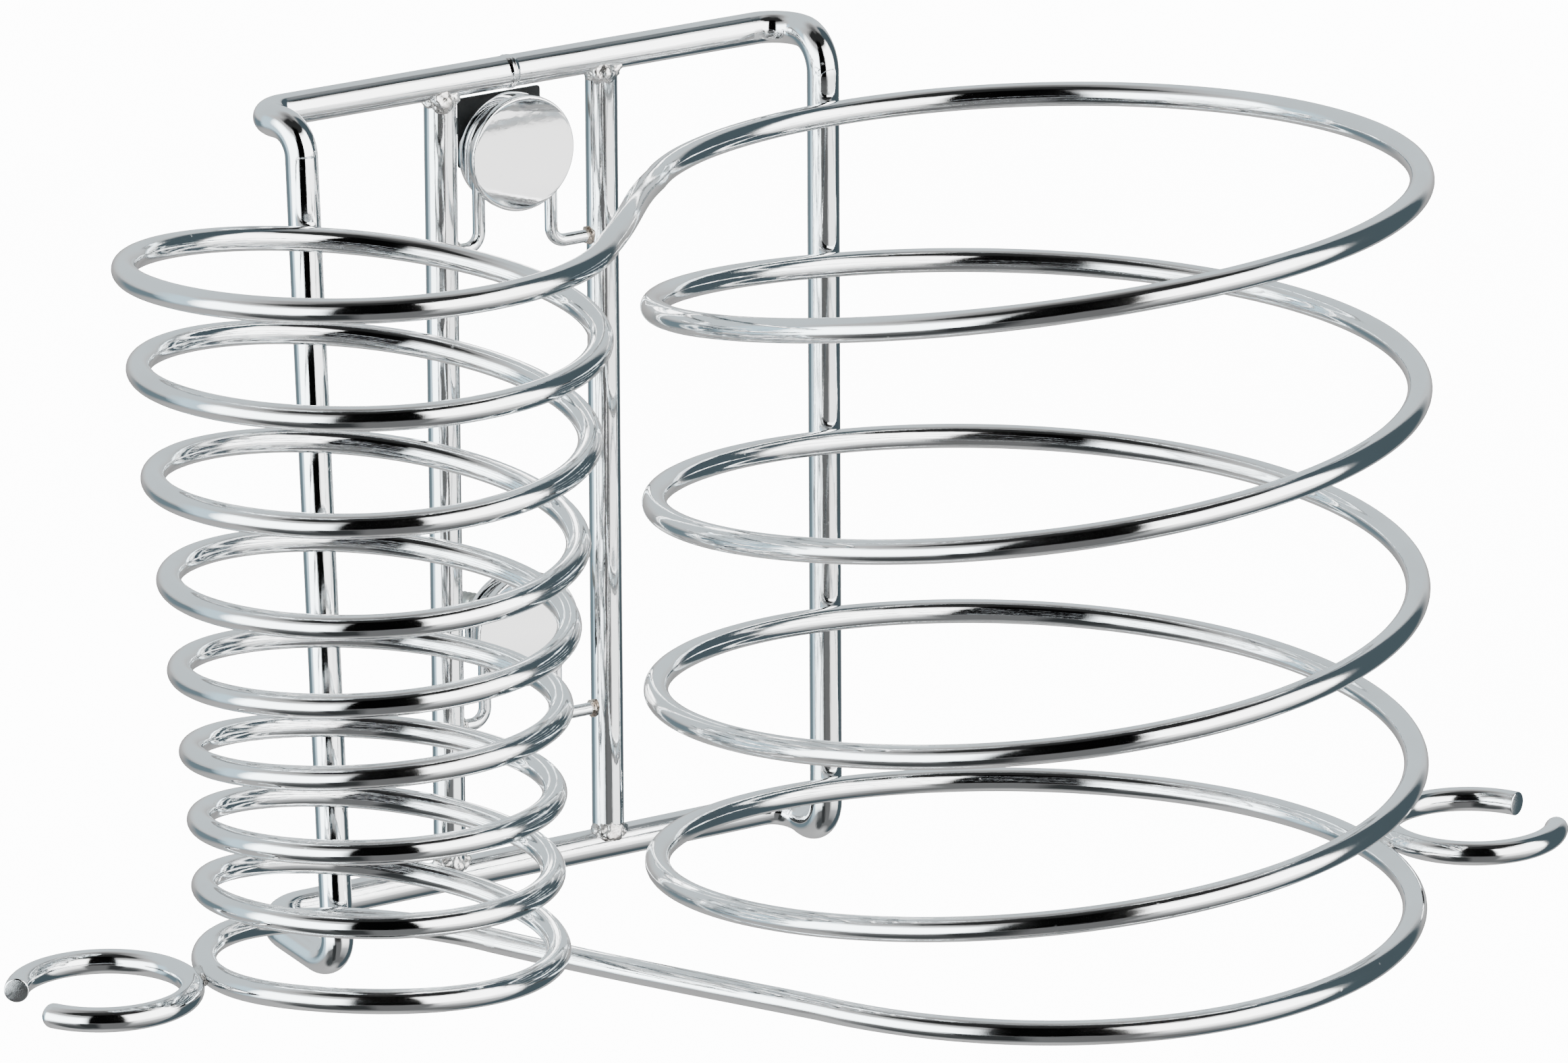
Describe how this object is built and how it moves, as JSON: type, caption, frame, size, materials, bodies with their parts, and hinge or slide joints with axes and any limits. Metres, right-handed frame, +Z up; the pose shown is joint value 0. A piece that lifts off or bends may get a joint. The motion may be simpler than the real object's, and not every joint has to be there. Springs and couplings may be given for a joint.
{
  "type": "hair dryer holder",
  "caption": "Chromed wire wall rack with a wide spiral for a hair dryer, a narrow tapering spiral for a styling tool and open cable hooks, hung on studs.",
  "frame": {"origin": "on the wall plane, midway between the two wall studs", "axes": "+Z up, +X to the right of someone who faces the wall, +Y into the wall; the front faces -Y"},
  "size_m": [0.2432, 0.1513, 0.1338],
  "materials": {
    "chrome_wire": "bright chromed steel wire",
    "thin_chrome_wire": "bright chromed thin steel wire",
    "stud_chrome": "polished",
    "zinc_screw": "zinc plated",
    "dark_plate": "dark satin paint"
  },
  "bodies": {
    "wall_studs": {"upper_backing_plate": "dark_plate", "lower_backing_plate": "dark_plate", "upper_stud_base": "stud_chrome", "lower_stud_base": "stud_chrome", "upper_wall_screw": "zinc_screw", "lower_wall_screw": "zinc_screw"},
    "holder": {"wall_frame": "chrome_wire", "left_upright": "chrome_wire", "right_upright": "chrome_wire", "dryer_spiral": "chrome_wire", "tool_spiral": "chrome_wire", "left_cable_hook": "chrome_wire", "right_cable_hook": "chrome_wire", "upper_hanger": "thin_chrome_wire", "lower_hanger": "thin_chrome_wire"},
    "upper_cap": {"upper_stud_cap": "stud_chrome"},
    "lower_cap": {"lower_stud_cap": "stud_chrome"}
  },
  "joints": [
    {"name": "lift_off", "type": "slide", "parent": "wall_studs", "child": "holder", "axis": [0, 0, 1], "range_m": [0, 0.022]},
    {"name": "upper_cap_pull", "type": "slide", "parent": "wall_studs", "child": "upper_cap", "axis": [0, -1, 0], "range_m": [0, 0.012]},
    {"name": "lower_cap_pull", "type": "slide", "parent": "wall_studs", "child": "lower_cap", "axis": [0, -1, 0], "range_m": [0, 0.012]}
  ]
}
